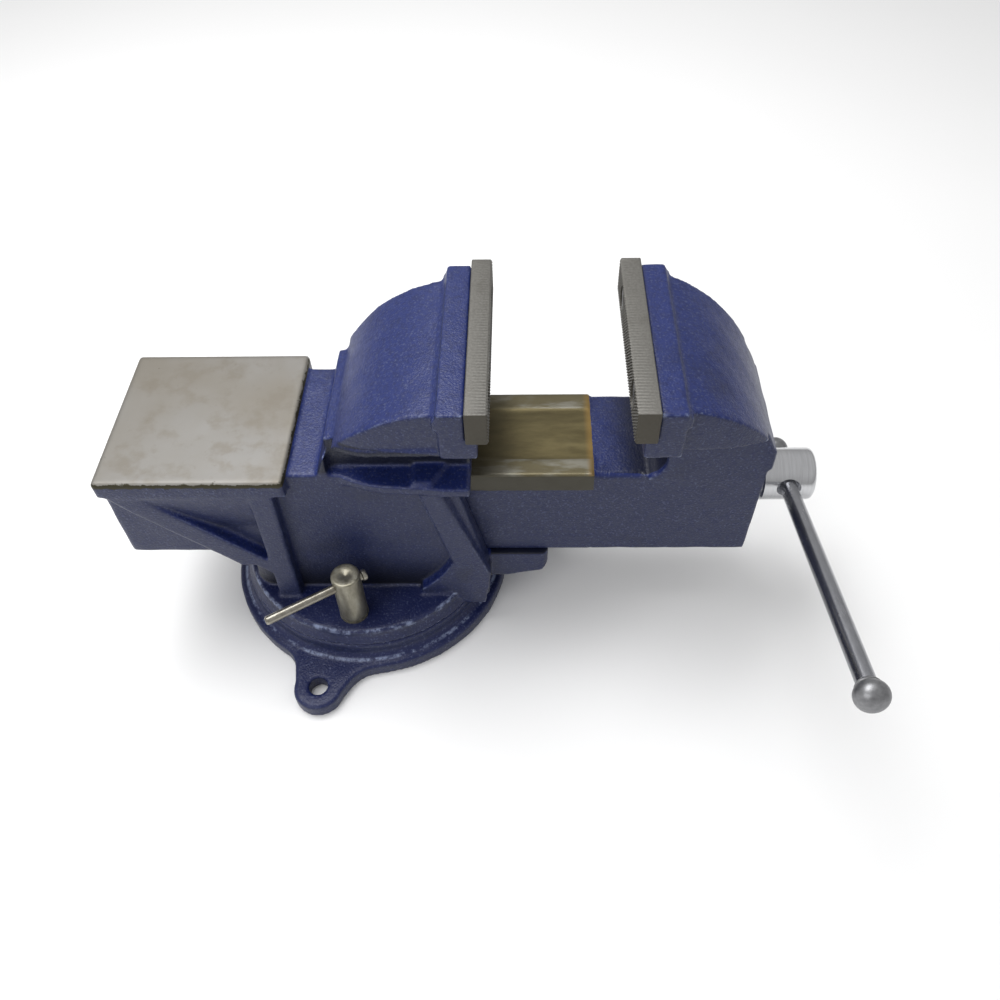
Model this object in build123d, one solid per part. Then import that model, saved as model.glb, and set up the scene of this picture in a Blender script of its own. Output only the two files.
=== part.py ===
from build123d import *
import os
from math import atan2, cos, degrees, hypot, pi, radians, sin

# Bench vise with a swivel base, all sizes in millimetres.
# +Z is up, +X runs along the lead screw from the anvil to the handle,
# and the origin is the middle of the base on its underside.

# ---------------------------------------------------------------- clearances
running_clearance = 0.05      # radial, round pieces that turn or slide in a bore
spigot_clearance = 0.08       # radial, swivel spigot in the base bore
slide_clearance = 0.15        # per side, jaw slide in its passage
face_clearance = 0.05         # axial, between faces that turn on each other
bolt_clearance = 0.5          # radial, bolts through plain holes
through_margin = 1.0          # how far a cutting tool runs past the metal

# ---------------------------------------------------------------- jaws
jaw_width = 150.0
jaw_top = 245.0
jaw_opening = 86.8
full_opening = 150.0
fixed_face_x = 103.9
plate_thickness = 14.3
plate_height = 24.8
plate_chamfer = 0.6
ledge_side_inset = 2.0        # casting is this much narrower than the plate
ledge_top_drop = 3.0          # plate stands this proud of the casting
ledge_depth = 16.8
ledge_slope = 3.0
seat_step = 7.0               # casting reaches under the plate by this much
seat_depth = 15.8
hump_side_inset = 9.0         # round back to plate end, per side
hump_toe_inset = 12.7         # same where the fixed jaw starts to narrow
hump_toe_x = -13.0
hump_drop = 9.5
hump_mid_x = 0.373            # middle point of the round back, as fractions
hump_mid_z = 0.669
undercut_x = -6.0             # rear end of the cut under the round back
undercut_rise = 8.0           # its roof climbs by this towards the gripping face
undercut_drop = 11.5          # roof below the jaw's overhang at the rear end
undercut_corner = 6.0
bead_projection = 2.0
bead_height = 5.0
throat_half = 44.0            # neck between the round back and the shoulder
neck_setback = 11.0           # plate seat to the front of that neck
head_core_half = 28.0
head_core_wall = 15.0

# ---------------------------------------------------------------- slide
slide_width = 80.5
slide_height = 83.6
slide_bottom = 68.2
slide_tail_x = -58.0
slide_end_x = 288.7
slide_wall = 9.75
slide_roof = 11.0
slide_end_wall = 18.0
cast_inset = 0.6              # unmachined sides of the slide sit back by this
cast_edge = 4.0
rail_height = 15.8
top_land_width = 15.5
top_relief = 1.0
machined_end_x = 173.0
lip_reach = 2.6               # front lip of the jaw past the slide's end
lip_top = 176.0
lip_bottom = 160.0
jaw_root_x = 214.0
jaw_root_extra = 2.8          # root widens by this towards the head, per side

# ---------------------------------------------------------------- fixed body
side_wall = 12.6
roof_wall = 15.0
floor_wall = 14.0
disc_top = 40.0
disc_bottom = 26.5
disc_flare = 4.0
disc_edge = 2.5
body_left_x = -82.0
body_corner = 16.0
body_core_wall = 12.0
mouth_gap = 6.0               # gripping face to the passage mouth, at the foot
mouth_lean = 22.0             # the mouth stands back by this at the top
housing_fillet = 17.0
rib_projection = 10.0
rib_rear_x = -62.0
rib_front_x = -45.5
rib_lean = 2.0
gusset_width = 22.0           # measured along the housing
gusset_foot_z = 64.5
panel_drop = 42.0             # sloping web under the anvil's side
core_radius = 34.0
spigot_radius = 42.0
spigot_depth = 18.0
tongue_tip_x = 143.0
tongue_half = 45.0
tongue_drop = 15.0

# ---------------------------------------------------------------- front flange
flange_projection = 8.5
flange_cheek_depth = 10.6     # how far the flange stands in front of the passage side
flange_top_x = 64.0
flange_heel_x = 72.4          # rearmost edge at the waist
flange_heel_z = 79.0
flange_toe_x = 100.6
flange_toe_z = 61.5
flange_foot_reach = 116.0

# ---------------------------------------------------------------- anvil
anvil_left_x = -161.6
anvil_length = 127.9
anvil_width = 127.0
anvil_top = 171.0
anvil_thickness = 15.0
anvil_edge = 1.4
anvil_corner_radius = 2.2
housing_inset = 2.4
housing_end_wall = 9.5
housing_bottom = 92.2
housing_side_wall = 9.5

# ---------------------------------------------------------------- lead screw
screw_z = 107.0
screw_diameter = 24.0
screw_tail_x = -56.0
screw_tip_x = 337.0
head_diameter = 38.6
head_start_x = 298.0
head_round = 3.0
collar_diameter = 34.0
handle_x = 317.2
thrust_washer_thickness = 4.0
thrust_washer_diameter = 43.0
retaining_washer_thickness = 3.5
retaining_washer_diameter = 38.0
spring_length = 18.0
spring_wire = 3.0
spring_turns = 3.0
split_pin_diameter = 4.0
nut_start_x = -6.0
nut_length = 50.0
nut_width = 48.0
nut_crown = 8.0               # metal above the screw bore
nut_bolt_diameter = 14.0
nut_bolt_grip = 20.0

# ---------------------------------------------------------------- handle
handle_diameter = 12.2
handle_tilt = 13.5            # degrees, near end up
handle_near = 212.0           # screw axis to the middle of the near knob
handle_far = 29.5
knob_diameter = 21.0
knob_depth = 17.0
knob_spigot_diameter = 8.0

# ---------------------------------------------------------------- swivel base
ring_radius = 100.0
flange_step = 10.0
flange_height = 12.5
lug_count = 3
lug_first_angle = -103.0
lug_radius = 18.5
lug_offset = 128.5            # base centre to mounting hole
lug_hole_diameter = 14.0
lug_root_half = 30.0
lug_root_offset = 98.0
lug_fillet = 26.0
slot_inset = 21.9             # ring edge to the middle of the T slot
slot_neck_width = 13.4
slot_chamber_width = 26.0
slot_floor = 6.5
slot_ceiling = 17.0
entry_width = 24.0
entry_angles = (60.0, 240.0)
base_core_inner = 48.0        # grooves cored out of the underside
base_core_outer = 60.0
base_core_top = 18.0
base_rib_width = 9.0
base_rib_count = 6

# ---------------------------------------------------------------- swivel locks
clamp_bolt_diameter = 12.0
clamp_head_length = 21.0
clamp_head_width = 20.0
lock_x = -3.0
lock_washer_diameter = 21.6
lock_washer_thickness = 1.6
lock_nut_diameter = 21.0
lock_nut_top = 88.5
lock_nut_dome = 3.5
lock_bar_diameter = 6.6
lock_bar_z = 78.5
lock_bar_angle = 31.5         # degrees from the screw direction
lock_bar_long = 62.5
lock_bar_short = 15.5
lock_bar_end = 1.0
lock_knob_diameter = 8.6
lock_knob_length = 4.0

# ---------------------------------------------------------------- plate screws
plate_screw_diameter = 10.0
plate_screw_head = 18.0
plate_screw_length = plate_thickness + 11.5
plate_screw_sink = 1.2
plate_screw_spacing = 92.0
socket_width = 6.0

# ---------------------------------------------------------------- derived
slide_half = slide_width / 2
slide_top = slide_bottom + slide_height
side_half = slide_half + slide_clearance + side_wall
rib_half = side_half + rib_projection
flange_half = side_half + flange_projection
shoulder_z = slide_top + slide_clearance + roof_wall
passage_floor = slide_bottom - slide_clearance
movable_face_x = fixed_face_x + jaw_opening
ledge_half = jaw_width / 2 - ledge_side_inset
ledge_z = jaw_top - ledge_top_drop
plate_bottom = jaw_top - plate_height
overhang_z = plate_bottom - seat_depth
hump_half = jaw_width / 2 - hump_side_inset
lip_x = slide_end_x + lip_reach
anvil_half = anvil_width / 2
anvil_right_x = anvil_left_x + anvil_length
anvil_bottom = anvil_top - anvil_thickness
housing_left_x = anvil_left_x + housing_inset
housing_half = rib_half - 3.5
flange_radius = ring_radius + flange_step
slot_radius = ring_radius - slot_inset
lock_y = (slot_radius**2 - lock_x**2) ** 0.5
handle_length = handle_near + handle_far
channel_half = slide_half - slide_wall
end_wall_inner_x = slide_end_x - slide_end_wall
retaining_washer_x = end_wall_inner_x - spring_length - retaining_washer_thickness


def block(x0, x1, half_y, z0, z1):
    """Box between two X and two Z planes, centred on the middle plane."""
    return Pos((x0 + x1) / 2, 0, (z0 + z1) / 2) * Box(x1 - x0, 2 * half_y, z1 - z0)


def side_prism(points, half_y):
    """Side outline (X, Z) made into a solid centred on the middle plane."""
    outline = Plane.XZ * make_face(Polyline(*points, close=True))
    return extrude(outline, amount=half_y, both=True)


def plan_prism(points, z0, z1):
    """Plan outline for the +Y side (X, half width), mirrored and raised."""
    mirrored = [(x, -y) for x, y in reversed(points)]
    outline = make_face(Polyline(*points, *mirrored, close=True))
    return Pos(0, 0, z0) * extrude(outline, amount=z1 - z0)


def plan_solid(edge, z0, z1):
    """Solid under a plan curve on the +Y side, mirrored and raised."""
    first, last = edge @ 0, edge @ 1
    closing = Polyline(last, (last.X, 0), (first.X, 0), first)
    half = Pos(0, 0, z0) * extrude(make_face(edge + closing), amount=z1 - z0)
    return both_sides(half)


def rod_x(radius, x0, x1, z=screw_z, y=0.0):
    """Round bar along X."""
    bar = Cylinder(radius, x1 - x0, align=(Align.CENTER, Align.CENTER, Align.MIN))
    return Pos(x0, y, z) * Rot(0, 90, 0) * bar


def rod_z(radius, z0, z1, x=0.0, y=0.0):
    """Round bar along Z."""
    bar = Cylinder(radius, z1 - z0, align=(Align.CENTER, Align.CENTER, Align.MIN))
    return Pos(x, y, z0) * bar


def both_sides(solid):
    """A shape and its mirror image on the other side of the middle plane."""
    return solid + mirror(solid, about=Plane.XZ)


def plate_screw_places():
    """Middle points (Y, Z) of the screws that hold a jaw plate."""
    z = jaw_top - plate_height / 2
    return [(-plate_screw_spacing / 2, z), (plate_screw_spacing / 2, z)]


# ================================================================ swivel base
def lug_angles():
    return [lug_first_angle + i * 360 / lug_count for i in range(lug_count)]


def make_swivel_base():
    outline = Circle(flange_radius)
    for angle in lug_angles():
        web = make_face(Polyline(
            (lug_root_offset, -lug_root_half), (lug_offset, -lug_radius),
            (lug_offset, lug_radius), (lug_root_offset, lug_root_half), close=True))
        outline += Rot(0, 0, angle) * web
        outline += Rot(0, 0, angle) * Pos(lug_offset, 0) * Circle(lug_radius)
    corners = outline.vertices().filter_by(
        lambda v: abs(hypot(v.X, v.Y) - flange_radius) < 1.0)
    outline = fillet(corners, lug_fillet)
    flange = extrude(outline, amount=flange_height)
    flange = fillet(flange.edges().group_by(Axis.Z)[-1], 2.5)

    ring = rod_z(ring_radius, 0, disc_bottom)
    ring = chamfer(ring.edges().group_by(Axis.Z)[-1], 1.5)
    foot = Pos(0, 0, flange_height) * Cone(
        ring_radius + 4, ring_radius, 5, align=(Align.CENTER, Align.CENTER, Align.MIN))
    solid = flange + ring + foot

    solid -= rod_z(spigot_radius + spigot_clearance, -through_margin, disc_bottom + through_margin)
    chamber_in = slot_radius - slot_chamber_width / 2
    chamber_out = slot_radius + slot_chamber_width / 2
    neck_in = slot_radius - slot_neck_width / 2
    neck_out = slot_radius + slot_neck_width / 2
    chamber = rod_z(chamber_out, slot_floor, slot_ceiling)
    chamber -= rod_z(chamber_in, slot_floor, slot_ceiling)
    neck_top = disc_bottom + through_margin
    neck = rod_z(neck_out, slot_ceiling, neck_top) - rod_z(neck_in, slot_ceiling, neck_top)
    solid = solid - chamber - neck
    for angle in entry_angles:
        entry = Pos(slot_radius, 0, (slot_floor + neck_top) / 2) * Box(
            slot_chamber_width - 2, entry_width, neck_top - slot_floor)
        solid -= Rot(0, 0, angle) * entry
    core = rod_z(base_core_outer, -through_margin, base_core_top)
    core -= rod_z(base_core_inner, -2 * through_margin, base_core_top + 1)
    for i in range(base_rib_count // 2):
        core -= Rot(0, 0, i * 360 / base_rib_count) * Box(
            3 * base_core_outer, base_rib_width, 3 * base_core_top)
    solid -= core
    for angle in lug_angles():
        hole = rod_z(lug_hole_diameter / 2, -through_margin, flange_height + through_margin)
        solid -= Rot(0, 0, angle) * Pos(lug_offset, 0, 0) * hole
    return solid


# ================================================================ fixed body
def make_swivel_disc():
    """Round foot that turns on the base, with the spigot below it."""
    foot = rod_z(ring_radius - disc_flare, disc_bottom, disc_top)
    foot = fillet(foot.edges().group_by(Axis.Z)[-1], disc_edge)
    flare = Pos(0, 0, disc_bottom) * Cone(
        ring_radius, ring_radius - disc_flare, (disc_top - disc_bottom) * 0.6,
        align=(Align.CENTER, Align.CENTER, Align.MIN))
    spigot = rod_z(spigot_radius, disc_bottom - spigot_depth, disc_bottom)
    spigot = chamfer(spigot.edges().group_by(Axis.Z)[0], 1.5)
    return foot + flare + spigot


def make_column():
    """Middle of the body: column, screw housing and the fillet between them."""
    mouth_x = fixed_face_x - mouth_gap
    column = side_prism([
        (body_left_x, disc_bottom), (body_left_x, anvil_bottom),
        (anvil_right_x, anvil_bottom), (anvil_right_x, shoulder_z),
        (mouth_x - mouth_lean, shoulder_z), (mouth_x, slide_bottom), (mouth_x, disc_bottom)],
        side_half)
    column = fillet(column.edges().filter_by(Axis.Z).group_by(Axis.X)[0], body_corner)
    inner_x = body_left_x + body_corner
    housing = block(housing_left_x, inner_x, side_half, housing_bottom, anvil_bottom)
    corner = block(body_left_x - housing_fillet, inner_x, side_half,
                   housing_bottom - housing_fillet, housing_bottom)
    corner -= Pos(body_left_x - housing_fillet, 0, housing_bottom - housing_fillet) * Rot(
        90, 0, 0) * Cylinder(housing_fillet, 3 * side_half)
    skirt = side_prism([
        (housing_left_x, anvil_bottom), (housing_left_x, housing_bottom),
        (body_left_x - 10, housing_bottom), (body_left_x - 50, anvil_bottom)], housing_half)
    skirt = fillet(skirt.edges().filter_by(Axis.Z), 3)
    return column + housing + corner + skirt


def make_body_ribs():
    """Upright rib and sloping gusset that carry the anvil, on both sides."""
    upright = side_prism([
        (rib_rear_x, disc_top - disc_edge), (rib_front_x, disc_top - disc_edge),
        (rib_front_x + rib_lean, anvil_bottom), (rib_rear_x + rib_lean, anvil_bottom)], rib_half)
    under_start = (housing_left_x + 0.75 * gusset_width, anvil_bottom - 0.75 * gusset_width)
    under_end = (body_left_x, housing_bottom - 0.6 * gusset_width)
    gusset = side_prism([
        (housing_left_x + 2, anvil_bottom), under_start, under_end,
        (rib_rear_x - 10, under_end[1]), (rib_rear_x + 4, gusset_foot_z),
        (rib_rear_x + 4, gusset_foot_z + 0.75 * gusset_width),
        (housing_left_x + 1.1 * gusset_width, anvil_bottom)], rib_half)
    cavity = block(housing_left_x - 1, rib_front_x + 5, side_half - 4, disc_top - 5, anvil_bottom + 1)
    panel_foot = anvil_bottom - panel_drop
    panel = Plane.YZ * make_face(Polyline(
        (side_half - 4, anvil_bottom), (rib_half, anvil_bottom),
        (side_half, panel_foot), (side_half - 4, panel_foot), close=True))
    panel_start = housing_left_x + gusset_width
    panel = Pos(panel_start, 0, 0) * extrude(panel, amount=rib_front_x - 5 - panel_start)
    return (upright + gusset - cavity) + both_sides(panel)


def make_front_flange():
    """Proud flange around the mouth of the passage, leaning forward to the foot."""
    top_z = shoulder_z + 3
    heel = (flange_heel_x, flange_heel_z)
    foot = (flange_heel_x - 25, disc_top + 5)
    bend = ((heel[0] + foot[0]) / 2 + 1.5, (heel[1] + foot[1]) / 2 - 2)
    faces = []
    for half, top_x, toe_x in [
            (slide_half + 2, flange_top_x + flange_cheek_depth, flange_toe_x - 1),
            (flange_half, flange_top_x, flange_toe_x)]:
        outline = ThreePointArc(foot, bend, heel) + Polyline(
            heel, (flange_top_x - 13, top_z), (top_x, top_z), (toe_x, flange_toe_z),
            (toe_x - 3.6, disc_top), (toe_x - 5, disc_bottom), (foot[0], disc_bottom), foot)
        faces.append(Plane.XZ.offset(-half) * make_face(outline))
    reach = rod_z(flange_foot_reach, disc_bottom, top_z)
    return both_sides(loft(faces, ruled=True) & reach)


def make_tongue():
    """Bed under the slide, in front of the body."""
    rear_x = fixed_face_x - 20
    tongue = side_prism([
        (rear_x, passage_floor), (tongue_tip_x, passage_floor),
        (tongue_tip_x, passage_floor - tongue_drop), (tongue_tip_x - 4, passage_floor - tongue_drop - 6),
        (tongue_tip_x - 30, disc_top), (rear_x, disc_top)], tongue_half)
    front_edges = tongue.edges().filter_by(Axis.Z).group_by(Axis.X)[-1]
    return fillet(front_edges, 6)


def make_anvil():
    slab = block(anvil_left_x, anvil_right_x, anvil_half, anvil_bottom, anvil_top)
    slab = fillet(slab.edges().filter_by(Axis.Z), anvil_corner_radius)
    return chamfer(slab.edges().group_by(Axis.Z)[-1], anvil_edge)


def make_fixed_head():
    """Rounded back of the fixed jaw, its ledge and the neck below it."""
    seat_x = fixed_face_x - plate_thickness
    back_x = seat_x - ledge_depth
    front_x = seat_x + seat_step
    start = (back_x - ledge_slope, jaw_top - hump_drop)
    end = (hump_toe_x, shoulder_z)
    middle = (end[0] + hump_mid_x * (start[0] - end[0]), end[1] + hump_mid_z * (start[1] - end[1]))
    side = ThreePointArc(start, middle, end) + Polyline(
        end, (hump_toe_x, shoulder_z - 8), (seat_x, shoulder_z - 8), (seat_x, start[1]), start)
    side = extrude(Plane.XZ * make_face(side), amount=jaw_width, both=True)

    def plan(extra, z0, z1):
        toe_half = side_half + extra
        wide_half = jaw_width / 2 - hump_toe_inset + extra
        flare = ((hump_toe_x + 15, toe_half), (hump_toe_x + 41, wide_half))
        middle = (hump_toe_x + 26, (toe_half + wide_half) / 2 + 0.8)
        toe = Line((hump_toe_x - 1, toe_half), flare[0]) + ThreePointArc(flare[0], middle, flare[1])
        straight = Polyline(flare[1], (back_x, hump_half + extra), (seat_x, hump_half + extra))
        return plan_solid(toe + straight, z0, z1)

    head = side & plan(0, shoulder_z - 8, jaw_top)
    ledge = side_prism([
        (back_x, ledge_z), (seat_x, ledge_z), (seat_x, plate_bottom),
        (front_x, plate_bottom), (front_x, overhang_z), (back_x, overhang_z)], ledge_half)
    ledge = chamfer(ledge.edges().filter_by(Axis.Z).group_by(Axis.X)[0], 1.2)
    slope = side_prism([
        (back_x - ledge_slope, start[1]), (back_x + 1, ledge_z - 1), (back_x + 1, start[1] - 8),
        (back_x - ledge_slope, start[1] - 8)], ledge_half - 1.5)

    rear_roof = overhang_z - undercut_drop
    front_roof = rear_roof + undercut_rise
    side_cut = side_prism([
        (undercut_x, shoulder_z), (undercut_x, rear_roof), (back_x, front_roof),
        (back_x, overhang_z), (fixed_face_x, overhang_z), (fixed_face_x, shoulder_z)], jaw_width)
    side_cut -= block(undercut_x, fixed_face_x, throat_half, shoulder_z, overhang_z)
    side_cut = fillet(side_cut.edges().filter_by(Axis.Z).group_by(Axis.X)[0], undercut_corner)
    neck_x = seat_x - neck_setback
    throat = side_prism([
        (undercut_x, shoulder_z - 2), (undercut_x, rear_roof), (back_x, overhang_z + 1),
        (seat_x, overhang_z + 1), (seat_x, overhang_z), (neck_x + 3, overhang_z - 8),
        (neck_x, overhang_z - 16), (neck_x, shoulder_z - 2)], throat_half)
    bead = side_prism([
        (undercut_x, rear_roof), (back_x, front_roof), (back_x, front_roof + bead_height),
        (undercut_x, rear_roof + bead_height)], jaw_width)
    bead = bead & side & plan(bead_projection, shoulder_z, jaw_top)
    return (head + ledge + slope - side_cut) + throat + bead


def cut_plate_screw_holes(solid, face_x, toward):
    """Tapped holes for a plate's screws, as deep as the screws and a little more."""
    near = face_x + toward * (plate_thickness - through_margin)
    far = face_x + toward * (plate_screw_length + 2 * through_margin)
    for y, z in plate_screw_places():
        solid -= rod_x(plate_screw_diameter / 2, min(near, far), max(near, far), z=z, y=y)
    return solid


def make_fixed_body():
    solid = make_swivel_disc() + make_column() + make_body_ribs() + make_front_flange()
    solid = solid + make_tongue() + make_anvil() + make_fixed_head()

    passage_half = slide_half + slide_clearance
    passage_top = slide_top + slide_clearance
    solid -= block(body_left_x - 10, tongue_tip_x + 10, passage_half, passage_floor, passage_top)
    tail_x = housing_left_x + housing_end_wall
    solid -= block(tail_x, body_left_x - 3, housing_half - housing_side_wall,
                   passage_floor - 10, passage_top)
    floor_under = passage_floor - floor_wall
    solid -= rod_z(core_radius, 0, floor_under)
    solid -= block(body_left_x + body_core_wall, fixed_face_x - mouth_gap - body_core_wall,
                   side_half - body_core_wall, disc_top, floor_under)
    core_x = hump_toe_x + 2 * head_core_wall
    core_end = fixed_face_x - plate_thickness - head_core_wall
    core_top = jaw_top - hump_drop - 1.7 * head_core_wall
    solid -= side_prism([
        (core_x, slide_top), (core_x, shoulder_z + 1.5 * head_core_wall),
        (core_x + 2 * head_core_wall, core_top), (core_end, core_top), (core_end, slide_top)],
        head_core_half)

    bolt_x = nut_start_x + nut_length / 2
    solid -= rod_z(nut_bolt_diameter / 2 + bolt_clearance, 0, passage_floor + 1, x=bolt_x)
    for y in (-lock_y, lock_y):
        solid -= rod_z(clamp_bolt_diameter / 2 + bolt_clearance, 0, disc_top + 5, x=lock_x, y=y)
    return cut_plate_screw_holes(solid, fixed_face_x, -1)


# ================================================================ movable jaw
def make_slide():
    """Slide with machined rails on its front part, growing wider into the jaw's root."""
    cast_half = slide_half - cast_inset
    cast_top = slide_top - cast_inset
    core = block(slide_tail_x, slide_end_x, cast_half, slide_bottom, cast_top)
    core = fillet(core.edges().filter_by(Axis.X).group_by(Axis.Z)[-1], cast_edge)
    rails = block(slide_tail_x, machined_end_x, slide_half, slide_top - rail_height, slide_top)
    rails += block(slide_tail_x, machined_end_x, slide_half, slide_bottom, slide_bottom + rail_height)
    rails -= block(slide_tail_x - 1, machined_end_x + 1, slide_half - top_land_width,
                   slide_top - top_relief, slide_top + 1)
    sections = []
    for x, top_half in [
            (jaw_root_x - 8, cast_half), (jaw_root_x + 24, slide_half + jaw_root_extra),
            (slide_end_x, slide_half + jaw_root_extra)]:
        sections.append(Plane.YZ.offset(x) * make_face(Polyline(
            (-cast_half, slide_bottom), (cast_half, slide_bottom),
            (top_half, cast_top), (-top_half, cast_top), close=True)))
    return core + rails + loft(sections[:2], ruled=True) + loft(sections[1:], ruled=True)


def make_movable_head():
    seat_x = movable_face_x + plate_thickness
    back_x = seat_x + ledge_depth
    under_x = seat_x - seat_step
    neck_x = jaw_root_x + 8
    root_half = slide_half + jaw_root_extra
    start = (back_x + 1, jaw_top - 7)
    middle = (back_x + 37, jaw_top - 25.5)
    end = (slide_end_x + 0.6, lip_top + 2.5)
    outline = ThreePointArc(start, middle, end) + Polyline(
        end, (lip_x, lip_top), (lip_x, lip_bottom), (slide_end_x, slide_top + 6), (neck_x, slide_top + 6),
        (neck_x, overhang_z), (seat_x, overhang_z), (seat_x, start[1]), start)
    head = extrude(Plane.XZ * make_face(outline), amount=jaw_width, both=True)
    plan = Line((under_x, hump_half), (back_x, hump_half)) + ThreePointArc(
        (back_x, hump_half), (back_x + 46, hump_half - 10.5), (lip_x + 1, root_half + 0.5))
    head &= plan_solid(plan, slide_top, jaw_top)
    ledge = side_prism([
        (seat_x, ledge_z), (back_x, ledge_z), (back_x, overhang_z), (under_x, overhang_z),
        (under_x, plate_bottom), (seat_x, plate_bottom)], ledge_half)
    ledge = chamfer(ledge.edges().filter_by(Axis.Z).group_by(Axis.X)[-1], 1.2)
    slope = side_prism([
        (back_x - 1, ledge_z - 1), (back_x + ledge_slope, start[1] - 1),
        (back_x + ledge_slope, start[1] - 9), (back_x - 1, start[1] - 9)], ledge_half - 1.5)
    side_cut = side_prism([
        (seat_x - 12, slide_bottom), (seat_x - 12, overhang_z), (neck_x, overhang_z),
        (slide_end_x - 6, overhang_z - 10), (lip_x + 4, overhang_z - 13),
        (lip_x + 4, slide_bottom)], jaw_width)
    side_cut -= block(seat_x - 20, lip_x + 10, root_half, slide_bottom - 1, jaw_top)
    throat = side_prism([
        (jaw_root_x - 5, slide_top - 3), (jaw_root_x - 3, slide_top + 1), (jaw_root_x + 2, slide_top + 4),
        (jaw_root_x + 6, slide_top + 11), (neck_x, overhang_z - 8), (neck_x, overhang_z + 1),
        (neck_x + 10, overhang_z + 1), (neck_x + 10, slide_top + 7), (slide_end_x, slide_top + 7),
        (slide_end_x, slide_top - 3)], root_half)
    return (head + ledge + slope - side_cut) + throat


def make_movable_jaw():
    solid = make_slide() + make_movable_head()
    cavity = block(slide_tail_x - 1, end_wall_inner_x, channel_half,
                   slide_bottom - 1, slide_top - slide_roof)
    cavity = fillet(cavity.edges().filter_by(Axis.X).group_by(Axis.Z)[-1], 8)
    core_x = jaw_root_x + head_core_wall
    core_end = end_wall_inner_x - 5
    core_floor = slide_top - slide_roof - 1
    core = side_prism([
        (core_x, core_floor), (core_x, jaw_top - 1.8 * head_core_wall),
        (core_x + 1.2 * head_core_wall, jaw_top - 2.4 * head_core_wall),
        (core_end, jaw_top - 3.7 * head_core_wall), (core_end, core_floor)], head_core_half)
    solid = solid - cavity - core
    solid -= rod_x(screw_diameter / 2 + running_clearance, end_wall_inner_x - 1, lip_x + 5)
    return cut_plate_screw_holes(solid, movable_face_x, 1)


# ================================================================ jaw plates
def from_face(shape, face_x, toward, y, z):
    """Carry a shape drawn along +Z so that it runs inwards from a gripping face."""
    return Pos(face_x, y, z) * Rot(0, 90 * toward, 0) * shape


def countersunk(top_depth, shank_radius, end_depth):
    """Countersunk head and shank along +Z, the head's flat top at `top_depth`."""
    head_radius = plate_screw_head / 2
    cone_height = head_radius - plate_screw_diameter / 2
    cone = Pos(0, 0, top_depth) * Cone(
        head_radius, plate_screw_diameter / 2, cone_height,
        align=(Align.CENTER, Align.CENTER, Align.MIN))
    return cone + rod_z(shank_radius, top_depth, end_depth)


def make_jaw_plate(face_x, toward):
    """Gripping plate; `toward` is +1 when the screws run towards +X."""
    back_x = face_x + toward * plate_thickness
    plate = block(min(face_x, back_x), max(face_x, back_x), jaw_width / 2, plate_bottom, jaw_top)
    plate = chamfer(plate.edges(), plate_chamfer)
    mouth = rod_z(plate_screw_head / 2, -through_margin, plate_screw_sink)
    hole_radius = plate_screw_diameter / 2 + bolt_clearance / 2
    hole = mouth + countersunk(plate_screw_sink, hole_radius, plate_thickness + through_margin)
    for y, z in plate_screw_places():
        plate -= from_face(hole, face_x, toward, y, z)
    return plate


def make_plate_screws(face_x, toward):
    screw = countersunk(plate_screw_sink, plate_screw_diameter / 2, plate_screw_length)
    socket = extrude(RegularPolygon(socket_width / 2, 6, major_radius=False), amount=5)
    screw -= Pos(0, 0, plate_screw_sink) * socket
    places = plate_screw_places()
    return Compound(children=[from_face(screw, face_x, toward, y, z) for y, z in places])


# ================================================================ lead screw
def along_handle(shape):
    """Carry a shape drawn about its own +Z axis to the handle's line (+Z is the near end)."""
    return Pos(handle_x, 0, screw_z) * Rot(90 - handle_tilt, 0, 0) * shape


def make_lead_screw():
    shank = rod_x(screw_diameter / 2, screw_tail_x, head_start_x)
    shank = chamfer(shank.edges().group_by(Axis.X)[0], 2.0)
    collar = rod_x(collar_diameter / 2, slide_end_x + face_clearance + thrust_washer_thickness,
                   head_start_x + 1)
    head = rod_x(head_diameter / 2, head_start_x, screw_tip_x)
    head = fillet(head.edges().group_by(Axis.X)[-1], head_round)
    head = chamfer(head.edges().group_by(Axis.X)[0], 0.8)
    solid = shank + collar + head
    hole_radius = handle_diameter / 2 + running_clearance
    solid -= along_handle(Cylinder(hole_radius, 2 * head_diameter))
    mouth = Cone(hole_radius, hole_radius + 2.2, 2.2, align=(Align.CENTER, Align.CENTER, Align.MIN))
    depth = head_diameter / 2 - 1.6
    solid -= along_handle(Pos(0, 0, depth) * mouth)
    solid -= along_handle(Rot(180, 0, 0) * Pos(0, 0, depth) * mouth)
    pin_x = retaining_washer_x - split_pin_diameter / 2
    pin_hole = split_pin_diameter / 2 + 0.1
    solid -= rod_z(pin_hole, screw_z - screw_diameter, screw_z + screw_diameter, x=pin_x)
    return solid


def make_ring_x(inner, outer, x0, thickness):
    """Washer on the screw axis."""
    washer = rod_x(outer, x0, x0 + thickness) - rod_x(inner, x0 - 1, x0 + thickness + 1)
    return chamfer(washer.edges().filter_by(GeomType.CIRCLE).sort_by(SortBy.RADIUS)[-2:], 0.5)


def make_thrust_washer():
    return make_ring_x(screw_diameter / 2 + 0.02, thrust_washer_diameter / 2,
                       slide_end_x + face_clearance, thrust_washer_thickness)


def make_retaining_washer():
    return make_ring_x(screw_diameter / 2 + 0.02, retaining_washer_diameter / 2,
                       retaining_washer_x, retaining_washer_thickness)


def make_split_pin():
    pin_x = retaining_washer_x - split_pin_diameter / 2
    radius = split_pin_diameter / 2
    reach = screw_diameter / 2 + 3
    shank = rod_z(radius, screw_z - reach, screw_z + reach, x=pin_x)
    eye = Pos(pin_x, 0, screw_z + reach + 3.2) * Rot(0, 90, 0) * Torus(3.4, 1.2)
    tails = Pos(pin_x, 0, screw_z - reach) * Rot(55, 0, 0) * rod_z(radius * 0.6, -6.5, 0.5)
    tails += Pos(pin_x, 0, screw_z - reach) * Rot(-55, 0, 0) * rod_z(radius * 0.6, -6.5, 0.5)
    return shank + eye + tails


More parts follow.
